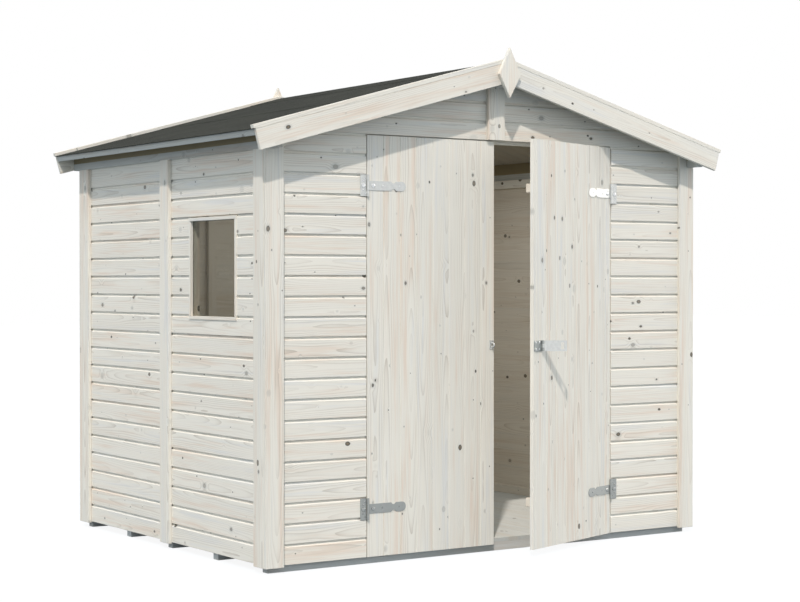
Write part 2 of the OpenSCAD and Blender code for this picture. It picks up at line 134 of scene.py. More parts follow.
def spruce(name, body, blush, cool, latewood, smudge, ring_share, roughness):
    """Planed spruce cut from a log. Every board holds its own "grain" coordinates (along, through and
    across the board) and its own "log" numbers (tone, place of the pith across and behind the face)."""
    made, tree, surface = shader(name)
    grain = out(add(tree, "ShaderNodeAttribute", attribute_name="grain"), "Vector")
    log = out(add(tree, "ShaderNodeAttribute", attribute_name="log"), "Vector")
    way = add(tree, "ShaderNodeSeparateXYZ", [grain])
    own = add(tree, "ShaderNodeSeparateXYZ", [log])

    # Noise drawn out along the board: how many times a metre it turns, along and across
    field = {}
    for part, along, across, rough in (("ragged", 160, 160, 0.5), ("taper", 0.6, 0.3, 0.4), ("wander", 3, 14, 0.5),
                                       ("patch", 1.2, 12, 0.5), ("streak", 1.1, 24, 0.72), ("fibre", 5, 150, 0.6)):
        place = add(tree, "ShaderNodeVectorMath", [grain, (along, across, across)], operation="MULTIPLY")
        field[part] = add(tree, "ShaderNodeTexNoise",
                          {"Vector": place, "Scale": 1.0, "Detail": 3.0, "Roughness": rough})

    # Knots: most of them small, oval along the grain, with a dark rim and a grey halo in the wash
    squeezed = add(tree, MATH, [out(way, "X"), 0.7], operation="MULTIPLY")
    flat = add(tree, "ShaderNodeCombineXYZ", {"X": squeezed, "Y": out(way, "Z")})
    cells = add(tree, "ShaderNodeTexVoronoi", {"Vector": flat, "Scale": 1 / KNOT_APART}, voronoi_dimensions="2D")
    reach = add(tree, MATH, [cells, KNOT_APART], operation="MULTIPLY")
    chance = add(tree, "ShaderNodeSeparateXYZ", [out(cells, "Color")])
    rare = add(tree, MATH, [out(chance, "X"), 3], operation="POWER")
    radius = add(tree, MATH, [rare, 8 * MM, 2.5 * MM], operation="MULTIPLY_ADD")
    uneven = add(tree, MATH, [field["ragged"], 4 * MM, radius], operation="MULTIPLY_ADD")
    beyond = add(tree, MATH, [reach, 2 * MM], operation="ADD")
    inside = add(tree, MATH, [uneven, beyond], operation="SUBTRACT")
    core = add(tree, RANGE, [inside, 0, 1.5 * MM, 0, 1], **SOFT)
    heart = add(tree, RANGE, [inside, 3 * MM, 7 * MM, 0, 0.8], **SOFT)
    halo_edge = add(tree, MATH, [radius, -1.1], operation="MULTIPLY")
    halo = add(tree, RANGE, [inside, halo_edge, 1 * MM, 0, 1], **SOFT)
    bend_edge = add(tree, MATH, [radius, 4], operation="MULTIPLY")
    bend = add(tree, RANGE, [reach, 0, bend_edge, radius, 0], **SOFT)

    # Growth rings, cut by the face of the board into fine lines and long arches
    depth = add(tree, MATH, [field["taper"], 0.12, -0.03], operation="MULTIPLY_ADD")
    behind = add(tree, MATH, [out(way, "Y"), depth], operation="ADD")
    aside = add(tree, MATH, [out(own, "Y"), 0.05, out(way, "Z")], operation="MULTIPLY_ADD")
    pith = add(tree, "ShaderNodeCombineXYZ", {"X": behind, "Y": aside})
    radial = out(add(tree, "ShaderNodeVectorMath", [pith], operation="LENGTH"), "Value")
    wander = add(tree, MATH, [field["wander"], 9 * MM, radial], operation="MULTIPLY_ADD")
    bent = add(tree, MATH, [wander, bend], operation="ADD")
    rings = add(tree, MATH, [bent, 6.5 * MM], operation="DIVIDE")
    step = add(tree, MATH, [rings], operation="FRACT")
    line = add(tree, MATH, [step, 4], operation="POWER")
    patch = add(tree, RANGE, [field["patch"], 0.38, 0.65, 0.25 * ring_share, ring_share], **SOFT)
    ring = add(tree, MATH, [line, patch], operation="MULTIPLY")

    # Wide streaks of warmer and cooler wood under the wash, and fine fibre
    streak = add(tree, MATH, [out(own, "Z"), 0.05, field["streak"]], operation="MULTIPLY_ADD")
    warm = add(tree, RANGE, [streak, 0.5, 0.72, 0, 1], **SOFT)
    cold = add(tree, RANGE, [streak, 0.48, 0.3, 0, 1], **SOFT)
    shade = add(tree, MIX, [warm, body, blush], **TINT)
    shade = add(tree, MIX, [cold, shade, cool], **TINT)
    shade = add(tree, MIX, [ring, shade, latewood], **TINT)
    fine = add(tree, MATH, [field["fibre"], 0.12, 0.94], operation="MULTIPLY_ADD")
    tone = add(tree, MATH, [out(own, "X"), 0.015, fine], operation="MULTIPLY_ADD")
    shade = add(tree, "ShaderNodeVectorMath", [shade, tone], operation="SCALE")
    share = add(tree, RANGE, [out(chance, "Y"), 0.2, 1, 0.05, 0.35], **SOFT)
    smear = add(tree, MATH, [halo, share], operation="MULTIPLY")
    shade = add(tree, MIX, [smear, shade, smudge], **TINT)
    knot = add(tree, MIX, [heart, colour("#3B3A33"), colour("#75664F")], **TINT)
    strength = add(tree, RANGE, [out(chance, "Z"), 0.25, 0.7, 0, 0.95], **SOFT)
    dark = add(tree, MATH, [core, strength], operation="MULTIPLY")
    shade = add(tree, MIX, [dark, shade, knot], **TINT)
    give(tree, surface.inputs["Base Color"], shade)

    surface.inputs["IOR"].default_value = 1.5
    dull = add(tree, MATH, [field["fibre"], 0.12, roughness - 0.06], operation="MULTIPLY_ADD")
    matt = add(tree, MATH, [core, -0.12, dull], operation="MULTIPLY_ADD")
    give(tree, surface.inputs["Roughness"], matt)
    relief = add(tree, MATH, [line, field["fibre"]], operation="ADD")
    raised = add(tree, "ShaderNodeBump", {"Height": relief, "Strength": 0.35, "Distance": 0.3 * MM})
    give(tree, surface.inputs["Normal"], raised)
    return made


# Spruce under a thin white wash: pale cream with faint rings and small dark knots
washed = spruce("whitewashed_spruce", colour("#E2E0D6"), colour("#DDD1C2"), colour("#D9DAD6"),
                colour("#A49A8C"), colour("#9DA19D"), 0.55, 0.62)
# The same wash on the rougher timber under the eaves, painted greyer and darker for the shade under the roof
eaves_painted_shade = spruce("thin_washed_spruce", colour("#BEC1BD"), colour("#B8B2A7"), colour("#B3B8B7"),
                    colour("#8F887C"), colour("#868A86"), 0.5, 0.7)
# Planed spruce left bare indoors: a little warmer, with plainer rings
bare = spruce("bare_spruce", colour("#D6CFC1"), colour("#CFC4B3"), colour("#D0CBBF"),
              colour("#A89A84"), colour("#958F82"), 0.55, 0.66)
# Sawn bearers and roof timber: weathered grey, rough, with a furry edge to the rings
sawn = spruce("sawn_spruce", colour("#C8CBC9"), colour("#C1BFB8"), colour("#C0C5C5"),
              colour("#A6A49C"), colour("#92928D"), 0.5, 0.8)
# Roof boards, bare spruce painted darker for the shade under the roof, and painted dark brown where they reach past
# the walls, for the deep shade under the eaves and verges
roofing_painted_shade = spruce("roof_spruce", colour("#A8A296"), colour("#A09785"), colour("#A09F97"),
                 colour("#857B6A"), colour("#76736A"), 0.5, 0.8)
# Planed floor boards: light grey-beige with a dusty, slightly worn face
walked = spruce("floor_spruce", colour("#C2C6C3"), colour("#BDBCB4"), colour("#BABFBD"),
                colour("#9C978A"), colour("#8E8D86"), 0.5, 0.7)


def overlaid(made, code, **limits):
    """Turns a finish to a second colour beyond a distance from the shed's middle, along x, y or z."""
    tree = made.node_tree
    surface = tree.nodes["Principled BSDF"]
    place = add(tree, "ShaderNodeSeparateXYZ", [out(add(tree, "ShaderNodeTexCoord"), "Object")])
    share = 0
    for axis, limit in limits.items():
        away = add(tree, MATH, [out(place, axis)], operation="ABSOLUTE")
        beyond = add(tree, RANGE, [away, limit, limit + 3 * MM, 0, 1], **SOFT)
        share = add(tree, MATH, [share, beyond], operation="MAXIMUM")
    below = surface.inputs["Base Color"].links[0].from_socket
    give(tree, surface.inputs["Base Color"], add(tree, MIX, [share, below, colour(code)], **TINT))


# Painted shade: the roof boards turn dark brown beyond the walls, for the deep shade under the eaves and verges
overlaid(roofing_painted_shade, "#75694F", X=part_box("eaves_beam_right")[1].x, Y=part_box("rear_wall")[1].y)
# The eaves beams: the greyer colour of the eaves, with painted shade, dark brown, along their top close under the roof
beam_painted_shade = spruce("half_washed_spruce", colour("#BEC1BD"), colour("#B8B2A7"), colour("#B3B8B7"),
                   colour("#8F887C"), colour("#868A86"), 0.5, 0.7)
overlaid(beam_painted_shade, "#857A5E", Z=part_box("eaves_beam_left")[0].z + 31 * MM)


def zinc_plate(name, light, dark, scuffed, metal, smooth, dull):
    """Zinc-plated steel: light grey and cloudy, with faint scuffs, and darker towards the ground."""
    made, tree, surface = shader(name)
    place = out(add(tree, "ShaderNodeTexCoord"), "Object")
    height = out(add(tree, "ShaderNodeSeparateXYZ", [place]), "Z")
    cloud = add(tree, "ShaderNodeTexNoise", {"Vector": place, "Scale": 60.0, "Detail": 4.0})
    scuff = add(tree, "ShaderNodeTexNoise", {"Vector": place, "Scale": 420.0, "Detail": 2.0})
    clouded = add(tree, RANGE, [cloud, 0.35, 0.7, 0, 1], **SOFT)
    worn = add(tree, RANGE, [scuff, 0.6, 0.78, 0, 0.35], **SOFT)
    shade = add(tree, MIX, [clouded, colour(light), colour(dark)], **TINT)
    shade = add(tree, MIX, [worn, shade, colour(scuffed)], **TINT)
    # Darker towards the ground: from 0.9 m down to 0.6 m it turns to a darker grey
    darker_low = add(tree, RANGE, [height, 0.9, 0.6, 0, 0.85], **SOFT)
    shade = add(tree, MIX, [darker_low, shade, colour("#8D9291")], **TINT)
    give(tree, surface.inputs["Base Color"], shade)
    surface.inputs["Metallic"].default_value = metal
    give(tree, surface.inputs["Roughness"], add(tree, RANGE, [cloud, 0.3, 0.7, smooth, dull], **SOFT))
    raised = add(tree, "ShaderNodeBump", {"Height": scuff, "Strength": 0.12, "Distance": 0.2 * MM})
    give(tree, surface.inputs["Normal"], raised)
    return made


# Sheet ironwork: half matt, with a cloudy bloom on the zinc
zinc = zinc_plate("zinc_plated_steel", "#CDD0CE", "#C3C6C5", "#ABAFB0", 0.55, 0.3, 0.42)
# The plate under the hasp: the same, painted darker for the shade that lies on it
painted_shade_zinc = zinc_plate("weathered_zinc", "#A6ABAA", "#929897", "#7B8181", 0.6, 0.36, 0.5)
# Bolts and screws: brighter and glossier, so that their domes catch the light
bright_zinc = zinc_plate("bright_zinc", "#E2E4E4", "#D2D6D8", "#B4B9BC", 0.85, 0.18, 0.3)


def mineral_felt():
    """Bitumen felt faced with crushed slate: near black-green, gritty and dull. The grit is drawn at
    3 mm, three times its size, so that it shows."""
    made, tree, surface = shader("mineral_felt")
    place = out(add(tree, "ShaderNodeTexCoord"), "Object")
    grit = add(tree, "ShaderNodeTexVoronoi", {"Vector": place, "Scale": 1 / (3 * MM)})
    speck = add(tree, "ShaderNodeSeparateXYZ", [out(grit, "Color")])
    patch = add(tree, "ShaderNodeTexNoise", {"Vector": place, "Scale": 3.5, "Detail": 5.0})
    faded = add(tree, RANGE, [patch, 0.35, 0.68, 0, 1], **SOFT)
    pale = add(tree, RANGE, [out(speck, "X"), 0.78, 1, 0, 0.35], **SOFT)
    black = add(tree, RANGE, [out(speck, "Y"), 0.7, 1, 0, 0.6], **SOFT)
    shade = add(tree, MIX, [faded, colour("#1E211C"), colour("#272A24")], **TINT)
    shade = add(tree, MIX, [pale, shade, colour("#474B43")], **TINT)
    shade = add(tree, MIX, [black, shade, colour("#191B18")], **TINT)
    give(tree, surface.inputs["Base Color"], shade)
    surface.inputs["Specular IOR Level"].default_value = 0.15
    give(tree, surface.inputs["Roughness"], add(tree, RANGE, [out(speck, "Z"), 0, 1, 0.8, 0.98], **SOFT))
    raised = add(tree, "ShaderNodeBump", {"Height": out(grit, "Distance"), "Strength": 0.6, "Distance": 1 * MM})
    give(tree, surface.inputs["Normal"], raised)
    return made


def clear_pane():
    """Thin clear acrylic sheet: it lets the light through, shines weakly and holds a trace of dust."""
    made, tree, surface = shader("clear_acrylic")
    tree.nodes.remove(surface)
    through = add(tree, "ShaderNodeBsdfTransparent", {"Color": colour("#E9E9E6")})
    shine = add(tree, "ShaderNodeBsdfGlossy", {"Color": colour("#6E7376"), "Roughness": 0.03})
    film = add(tree, "ShaderNodeBsdfDiffuse", {"Color": colour("#B9BCB8")})
    place = out(add(tree, "ShaderNodeTexCoord"), "Object")
    dust = add(tree, "ShaderNodeTexNoise", {"Vector": place, "Scale": 9.0, "Detail": 4.0})
    film_share = add(tree, RANGE, [dust, 0.4, 0.8, 0, 0.025], **SOFT)
    slant = add(tree, MATH, [out(add(tree, "ShaderNodeLayerWeight"), "Facing"), 5], operation="POWER")
    rim = add(tree, MATH, [slant, 0.96, 0.04], operation="MULTIPLY_ADD")
    clear = add(tree, "ShaderNodeMixShader", [rim, through, shine])
    dusty = add(tree, "ShaderNodeMixShader", [film_share, clear, film])
    give(tree, tree.nodes["Material Output"].inputs["Surface"], dusty)
    return made


felt, pane = mineral_felt(), clear_pane()


# ------------------------------------------------------------------ meshes

def finish(mesh, name, body, stands_for=()):
    """Puts a mesh in the scene as a piece that rides on a body."""
    mesh.validate()
    made = bpy.data.objects.new(name, mesh)
    bpy.context.scene.collection.objects.link(made)
    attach(made, body)
    if stands_for:
        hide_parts(*stands_for)
    return made


def placed(mesh, matrix):
    """Moves a mesh. A mirrored one keeps its faces outwards."""
    mesh.transform(matrix)
    if matrix.determinant() < 0:
        mesh.flip_normals()
    return mesh


def joined(meshes, name):
    """Several meshes as one, each face with its own material."""
    materials = sorted({m for mesh in meshes for m in mesh.materials if m}, key=lambda m: m.name)
    bm = bmesh.new()
    for mesh in meshes:
        before = len(bm.faces)
        bm.from_mesh(mesh)
        slots = [materials.index(m) if m else 0 for m in mesh.materials]
        for face in list(bm.faces)[before:]:
            face.material_index = slots[face.material_index]
    made = bpy.data.meshes.new(name)
    bm.to_mesh(made)
    bm.free()
    for material in materials:
        made.materials.append(material)
    return made


def cut(mesh, point, normal):
    """Saws a mesh along a plane, drops what the normal points to, and closes every sawn end."""
    bm = bmesh.new()
    bm.from_mesh(mesh)
    geometry = bm.verts[:] + bm.edges[:] + bm.faces[:]
    sawn_edges = bmesh.ops.bisect_plane(bm, geom=geometry, dist=1e-6, plane_co=point, plane_no=normal,
                                        clear_outer=True)["geom_cut"]
    loops = [edge for edge in sawn_edges if isinstance(edge, bmesh.types.BMEdge) and edge.is_boundary]
    bmesh.ops.holes_fill(bm, edges=loops, sides=0)
    bm.to_mesh(mesh)
    bm.free()
    return mesh


def kept(mesh, low, high):
    """The part of a mesh inside a box."""
    for axis in range(3):
        along = Vector((0, 0, 0))
        along[axis] = 1
        if high[axis] < 1e3:
            cut(mesh, along * high[axis], along)
        if low[axis] > -1e3:
            cut(mesh, along * low[axis], -along)
    return mesh


def store(mesh, name, values):
    layer = mesh.attributes.new(name, "FLOAT_VECTOR", "POINT")
    layer.data.foreach_set("vector", [number for value in values for number in value])


def bar(name, outline, length):
    """A board along X with the given cross-section of (through, up) points, its face at through 0. Faces
    that look to the back of the board are marked, for they stay bare."""
    bm = bmesh.new()
    ends = [[bm.verts.new((x, through, up)) for through, up in outline] for x in (0, length)]
    bm.faces.new(ends[0])
    bm.faces.new(reversed(ends[1]))
    for i in range(len(outline)):
        j = (i + 1) % len(outline)
        bm.faces.new((ends[0][i], ends[1][i], ends[1][j], ends[0][j]))
    bmesh.ops.recalc_face_normals(bm, faces=bm.faces)
    mesh = bpy.data.meshes.new(name)
    bm.to_mesh(mesh)
    bm.free()
    deep = max(through for through, _ in outline)
    middle = sum(up for _, up in outline) / len(outline)
    store(mesh, "grain", [(v.co.x, v.co.y, v.co.z - middle) for v in mesh.vertices])
    indoors = mesh.attributes.new("indoors", "BOOLEAN", "FACE")
    for face in mesh.polygons:
        indoors.data[face.index].value = face.normal.y > 0.5 and face.center.y > 0.6 * deep
    return mesh


def tongued(cover, deep, shoulder, crown):
    """Cross-section of a tongued and grooved board: crown lists the points of its upper front corner."""
    mid = deep / 2 + 1 * MM
    half = 2 * MM
    return [(0, ARRIS), (ARRIS, 0), (mid - half - FIT, 0), (mid - half - FIT, TONGUE + FIT),
            (mid + half + FIT, TONGUE + FIT), (mid + half + FIT, 0), (deep, 0), (deep, cover - FIT),
            (mid + half, cover - FIT), (mid + half, cover + TONGUE), (mid - half, cover + TONGUE),
            (mid - half, shoulder)] + crown


def weatherboard(cover, deep):
    """Its square lower edge hangs over the bevelled top of the board below and leaves a dark joint."""
    top = cover - LAP_GAP
    mid = deep / 2 + 1 * MM - 2 * MM
    return tongued(cover, deep, top, [(mid - FIT, top), (0.4 * MM, top - LAP_BEVEL), (0, top - LAP_BEVEL - ARRIS)])


def v_board(cover, deep, v):
    outline = tongued(cover, deep, cover - FIT, [(v, cover - FIT), (0, cover - v)])
    return [(0, v), (v, 0)] + outline[2:]


# ------------------------------------------------------------------ rows of boards

def board_row_tree():
    """Lays copies of one board side by side. Each copy gets its own stretch of grain and its own log."""
    tree = bpy.data.node_groups.new("board_row", "GeometryNodeTree")
    for name, kind in (("Board", "Object"), ("Boards", "Int"), ("Cover", "Float"), ("Seed", "Int"),
                       ("Face finish", "Material"), ("Back finish", "Material")):
        tree.interface.new_socket(name, in_out="INPUT", socket_type="NodeSocket" + kind)
    tree.interface.new_socket("Geometry", in_out="OUTPUT", socket_type="NodeSocketGeometry")
    given = add(tree, "NodeGroupInput")
    step = add(tree, "ShaderNodeCombineXYZ", {"Z": out(given, "Cover")})
    row = add(tree, "GeometryNodeMeshLine", {"Count": out(given, "Boards"), "Offset": step})
    board = add(tree, "GeometryNodeObjectInfo", {"Object": out(given, "Board")})
    held = add(tree, "GeometryNodeInstanceOnPoints", {"Points": row, "Instance": out(board, "Geometry")})
    log_seed = add(tree, MATH, [out(given, "Seed"), 1], operation="ADD")
    for name, low, high, seed in (("shift", (0, 0, 0), (90, 0, 0), out(given, "Seed")),
                                  ("log", (-1, -1, -1), (1, 1, 1), log_seed)):
        drawn = add(tree, "FunctionNodeRandomValue", {"Min": low, "Max": high, "Seed": seed},
                    data_type="FLOAT_VECTOR")
        held = add(tree, "GeometryNodeStoreNamedAttribute", {"Geometry": held, "Name": name, "Value": drawn},
                   data_type="FLOAT_VECTOR", domain="INSTANCE")
    real = add(tree, "GeometryNodeRealizeInstances", {"Geometry": held})
    own = [add(tree, "GeometryNodeInputNamedAttribute", {"Name": name}, data_type="FLOAT_VECTOR")
           for name in ("grain", "shift")]
    moved = add(tree, "ShaderNodeVectorMath", own, operation="ADD")
    grown = add(tree, "GeometryNodeStoreNamedAttribute", {"Geometry": real, "Name": "grain", "Value": moved},
                data_type="FLOAT_VECTOR", domain="POINT")
    faced = add(tree, "GeometryNodeSetMaterial", {"Geometry": grown, "Material": out(given, "Face finish")})
    indoors = add(tree, "GeometryNodeInputNamedAttribute", {"Name": "indoors"}, data_type="BOOLEAN")
    backed = add(tree, "GeometryNodeSetMaterial", {"Geometry": faced, "Selection": indoors,
                                                   "Material": out(given, "Back finish")})
    add(tree, "NodeGroupOutput", {"Geometry": backed})
    return tree


def evaluated(tree, name, **values):
    """The plain mesh that a tree makes from its named inputs."""
    host = bpy.data.objects.new(name, bpy.data.meshes.new(name + "_host"))
    bpy.context.scene.collection.objects.link(host)
    modifier = host.modifiers.new(tree.name, "NODES")
    modifier.node_group = tree
    for item in tree.interface.items_tree:
        key = item.name.replace(" ", "_").lower()
        if item.in_out == "INPUT" and key in values:
            modifier[item.identifier] = values[key]
    graph = bpy.context.evaluated_depsgraph_get()
    mesh = bpy.data.meshes.new_from_object(host.evaluated_get(graph), depsgraph=graph)
    host.modifiers.remove(modifier)
    bpy.data.objects.remove(host)
    mesh.name = name
    return mesh


def from_mesh(mesh):
    """An object to hold a mesh that a tree copies. It is never shown."""
    return bpy.data.objects.new(mesh.name, mesh)


board_rows = board_row_tree()


def board_row(name, outline, length, count, cover, seed, face=washed, back=bare):
    pattern = from_mesh(bar(name + "_board", outline, length))
    made = evaluated(board_rows, name, board=pattern, boards=count, cover=cover, seed=seed,
                     face_finish=face, back_finish=back)
    bpy.data.objects.remove(pattern)
    return made


# ------------------------------------------------------------------ softened timber and ironwork

def islands(bm):
    """The loose pieces of a mesh, each a list of its vertices."""
    left, found = set(bm.verts), []
    while left:
        group, edge_of = set(), [left.pop()]
        while edge_of:
            vertex = edge_of.pop()
            group.add(vertex)
            for edge in vertex.link_edges:
                other = edge.other_vert(vertex)
                if other not in group:
                    edge_of.append(other)
        left -= group
        found.append(sorted(group, key=lambda v: tuple(round(c, 5) for c in v.co)))
    return sorted(found, key=lambda g: tuple(round(c, 5) for c in g[0].co))


def own_axes(group, along):
    """Directions along, through and across one piece of timber, from its longest edges."""
    edges = {edge for vertex in group for edge in vertex.link_edges}
    ways = sorted(((e.verts[1].co - e.verts[0].co for e in edges)), key=lambda w: -w.length)
    first = Vector(along) if along else ways[0].normalized()
    level = [w for w in ways if abs(w.normalized().dot(first)) < 0.2]
    third = (level[0] - first * level[0].dot(first)).normalized()
    return first, first.cross(third), third


def grown(bm, seed, along=None):
    """Gives every loose piece of a mesh its own grain and log."""
    draw = random.Random(seed)
    grain = bm.verts.layers.float_vector.new("grain")
    log = bm.verts.layers.float_vector.new("log")
    for group in islands(bm):
        axes = own_axes(group, along)
        middle = sum((v.co for v in group), Vector()) / len(group)
        shift = draw.uniform(0, 90)
        numbers = Vector((draw.uniform(-1, 1), draw.uniform(-1, 1), draw.uniform(-1, 1)))
        for vertex in group:
            place = vertex.co - middle
            vertex[grain] = Vector([place.dot(axis) for axis in axes]) + Vector((shift, 0, 0))
            vertex[log] = numbers


def softened(name, body, material, sources, arris=1.5 * MM, seed=1, along=None, segments=2):
    """A copy of CAD nodes with their corners eased, which stands for them."""
    bm = bmesh.new()
    for source in sources:
        bm.from_mesh(nodes[source].data)
    bmesh.ops.remove_doubles(bm, verts=bm.verts, dist=1e-5)
    bmesh.ops.dissolve_limit(bm, angle_limit=0.02, verts=bm.verts, edges=bm.edges)
    grown(bm, seed, along)
    sharp = [edge for edge in bm.edges if len(edge.link_faces) == 2 and edge.calc_face_angle() > 0.5]
    bmesh.ops.bevel(bm, geom=sharp, offset=arris, segments=segments, affect="EDGES", clamp_overlap=True)
    mesh = bpy.data.meshes.new(name)
    bm.to_mesh(mesh)
    bm.free()
    mesh.materials.append(material)
    return finish(mesh, name, body, sources)


# ------------------------------------------------------------------ walls

wall_low, wall_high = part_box("front_wall_left")
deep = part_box("left_wall_front")[1].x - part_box("left_wall_front")[0].x
cover = (wall_high.z - wall_low.z) / BOARDS_TO_DOOR_HEAD
ridge_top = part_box("ridge_beam")[1].z
beam_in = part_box("eaves_beam_right")[0].x
eaves_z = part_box("eaves_beam_right")[0].z
FAR = 1e4


def wall_row(name, node, turn, z, count, seed, outline=None):
    """Weatherboards over the whole width of a wall node, from height z up. turn is the wall's quarter
    turns from the front."""
    low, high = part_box(node)
    corner = [(low.x, low.y), (high.x, low.y), (high.x, high.y), (low.x, high.y)][turn]
    length = (high - low).y if turn % 2 else (high - low).x
    row = board_row(name, outline or weatherboard(cover, deep), length, count, cover, seed)
    return placed(row, Matrix.Translation((*corner, z)) @ Matrix.Rotation(turn * math.pi / 2, 4, "Z"))


def end_wall(name, node, turn, seed, cuts=()):
    row = wall_row(name, node, turn, wall_low.z, BOARDS_TO_DOOR_HEAD, seed)
    outer = kept(row.copy(), (-FAR, -FAR, -FAR), (FAR, FAR, eaves_z))
    inner = kept(row, (-beam_in, -FAR, eaves_z), (beam_in, FAR, FAR))
    finish(joined([outer, inner], name), name, "shed", [node])


def gable(name, node, turn, seed):
    """The boards over the door head, sawn to the roof and notched over the ridge beam."""
    low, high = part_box(node)
    row = wall_row(name, node, turn, wall_high.z, math.ceil((high.z - wall_high.z) / cover), seed)
    half = (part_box("ridge_beam")[1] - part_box("ridge_beam")[0]).x / 2
    parts = [kept(row.copy(), (-beam_in, -FAR, -FAR), (-half, FAR, FAR)),
             kept(row.copy(), (half, -FAR, -FAR), (beam_in, FAR, FAR)),
             kept(row, (-half, -FAR, -FAR), (half, FAR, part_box("ridge_beam")[0].z + 1 * MM))]
    mesh = joined(parts, name)
    for side in (-1, 1):
        cut(mesh, (0, 0, ridge_top), (side * math.sin(ROOF_PITCH), 0, math.cos(ROOF_PITCH)))
    finish(mesh, name, "shed", [node])


def side_wall(name, node, turn, seed, window=None):
    count = math.floor((eaves_z - wall_low.z) / cover) - 1
    top = wall_low.z + count * cover
    last = [(0, ARRIS), (ARRIS, 0), (deep, 0), (deep, eaves_z - top), (0, eaves_z - top)]
    row = joined([wall_row(name, node, turn, wall_low.z, count, seed),
                  wall_row(name + "_last", node, turn, top, 1, seed + 100, last)], name)
    if window:
        low, high = window
        under = wall_low.z + cover * math.floor((low.z - wall_low.z) / cover)
        over = wall_low.z + cover * math.ceil((high.z - wall_low.z) / cover)
        parts = [kept(row.copy(), (-FAR, -FAR, -FAR), (FAR, FAR, low.z if low.z - under < 2 * MM else under)),
                 kept(row.copy(), (-FAR, -FAR, under), (FAR, low.y, over)),
                 kept(row.copy(), (-FAR, high.y, under), (FAR, FAR, over)),
                 kept(row.copy(), (-FAR, low.y, under), (FAR, high.y, low.z)),
                 kept(row, (-FAR, -FAR, over), (FAR, FAR, FAR))]
        row = joined(parts, name)
    finish(row, name, "shed", [node])


end_wall("front_boards_left", "front_wall_left", 0, 11)
end_wall("front_boards_right", "front_wall_right", 0, 12)
end_wall("rear_boards", "rear_wall", 2, 13)
gable("front_gable_boards", "front_gable", 0, 14)
gable("rear_gable_boards", "rear_gable", 2, 15)
window_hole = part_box("window_frame")
side_wall("left_boards_front", "left_wall_front", 3, 16, window_hole)
side_wall("left_boards_rear", "left_wall_rear", 3, 17)
side_wall("right_boards", "right_wall", 1, 18)

# ------------------------------------------------------------------ framing, trims and roof timber

for piece, source, seed in (("bearer_timbers", "bearers", 21), ("ridge_timber", "ridge_beam", 25)):
    softened(piece, "shed", sawn, [source], 1 * MM, seed)
softened("stud_timbers", "shed", bare, ["wall_studs"], 1.5 * MM, 22)
softened("doorway_timbers", "shed", washed, ["door_posts"], 1.5 * MM, 24)
rails = softened("rail_timbers", "shed", washed, ["wall_rails"], 1.5 * MM, 23)
# Rail faces in the lower half take the bare finish, a little darker and warmer: partly bare wood indoors, partly
# painted shade low in the room
rails.data.materials.append(bare)
for face in rails.data.polygons:
    face.material_index = 1 if face.center.z < wall_high.z / 2 else 0
for piece, source, seed in (
    ("front_corner_boards", "front_corner_trims", 31), ("rear_corner_boards", "rear_corner_trims", 32),
    ("left_side_boards", "left_side_trims", 33), ("right_side_boards", "right_side_trims", 34),
    ("front_king_board", "front_gable_trim", 35), ("rear_king_board", "rear_gable_trim", 36),
    ("front_barge_boards", "front_bargeboards", 41), ("rear_barge_boards", "rear_bargeboards", 42),
    ("front_verge_laths", "front_verge_strips", 43), ("rear_verge_laths", "rear_verge_strips", 44),
):
    softened(piece, "shed", washed, [source], 1.5 * MM, seed)
# The eaves beams take the finish with painted shade along their top; the fascias, the greyer painted shade of the
# eaves
for piece, source, material, seed in (
    ("left_eaves_timber", "eaves_beam_left", beam_painted_shade, 37), ("right_eaves_timber", "eaves_beam_right", beam_painted_shade, 38),
    ("left_fascia_board", "fascia_left", eaves_painted_shade, 39), ("right_fascia_board", "fascia_right", eaves_painted_shade, 40),
):
    softened(piece, "shed", material, [source], 1.5 * MM, seed)
for piece, source, seed in (("front_kite", "front_finial", 45), ("rear_kite", "rear_finial", 46)):
    softened(piece, "shed", washed, [source], 1.5 * MM, seed, along=(0, 0, 1))


def floor_boards():
    """Floor boards from front to back."""
    low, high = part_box("floor_deck")
    count = math.ceil((high.x - low.x) / FLOOR_COVER)
    row = board_row("floor_boards", v_board(FLOOR_COVER, high.z - low.z, 1 * MM), high.y - low.y, count,
                    FLOOR_COVER, 51, walked, sawn)
    # along the board to Y, through it downwards, across it to X
    turn = Matrix(((0, 0, 1, low.x), (1, 0, 0, low.y), (0, -1, 0, high.z), (0, 0, 0, 1)))
    row = kept(placed(row, turn), (-FAR, -FAR, -FAR), (high.x, FAR, FAR))
    finish(row, "floor_boards", "shed", ["floor_deck"])


def roof_boards(side, node, seed):
    """Boards from the ridge to the eaves, their planed face indoors. side is -1 for the left slope."""
    low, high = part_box(node)
    run = high.x - low.x
    length = run / math.cos(ROOF_PITCH) + ROOF_BOARD
    count = math.ceil((high.y - low.y) / ROOF_COVER)
    # The roof boards take the spruce with painted shade: darker all over, and dark brown past the walls
    row = board_row(node + "_row", v_board(ROOF_COVER, ROOF_BOARD, DOOR_V), length, count, ROOF_COVER, seed,
                    roofing_painted_shade, roofing_painted_shade)
    down = Vector((side * math.cos(ROOF_PITCH), 0, -math.sin(ROOF_PITCH)))
    up = Vector((side * math.sin(ROOF_PITCH), 0, math.cos(ROOF_PITCH)))
    start = Vector((0, low.y, ridge_top + LAY)) - down * ROOF_BOARD
    turn = Matrix.Translation(start) @ Matrix((down, up, Vector((0, 1, 0)))).transposed().to_4x4()
    row = kept(placed(row, turn), (low.x, -FAR, -FAR), (high.x, high.y, FAR))
    drop = run * math.tan(ROOF_PITCH) - ROOF_BOARD / math.cos(ROOF_PITCH)
    row = cut(row, (side * run, 0, ridge_top + LAY - drop), down)
    finish(row, node.replace("roof_boards", "roof_deck"), "shed", [node])


floor_boards()
roof_boards(-1, "roof_boards_left", 52)
roof_boards(1, "roof_boards_right", 53)


